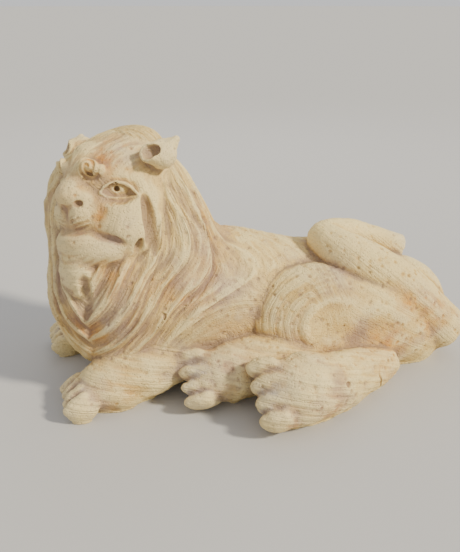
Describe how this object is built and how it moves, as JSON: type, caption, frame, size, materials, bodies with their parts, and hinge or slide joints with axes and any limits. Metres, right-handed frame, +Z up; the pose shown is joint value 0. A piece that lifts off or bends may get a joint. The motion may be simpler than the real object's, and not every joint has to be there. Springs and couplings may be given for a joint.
{
  "type": "ceramic lion statue",
  "caption": "Reclining lion modelled in pale unglazed clay, with fluted mane, turned head and tail curled over the haunch; stands on its flat underside as an ornament.",
  "frame": {"origin": "middle of the bounding box's bottom, on the ground the statue stands on", "axes": "+X from the lion's breast towards its rump, +Z up, the lion's left side towards -Y"},
  "size_m": [0.4776, 0.3108, 0.2809],
  "materials": {
    "clay": "unglazed, matt, with grog pits and ochre stains"
  },
  "bodies": {
    "root": {"lion": "clay"}
  },
  "joints": []
}
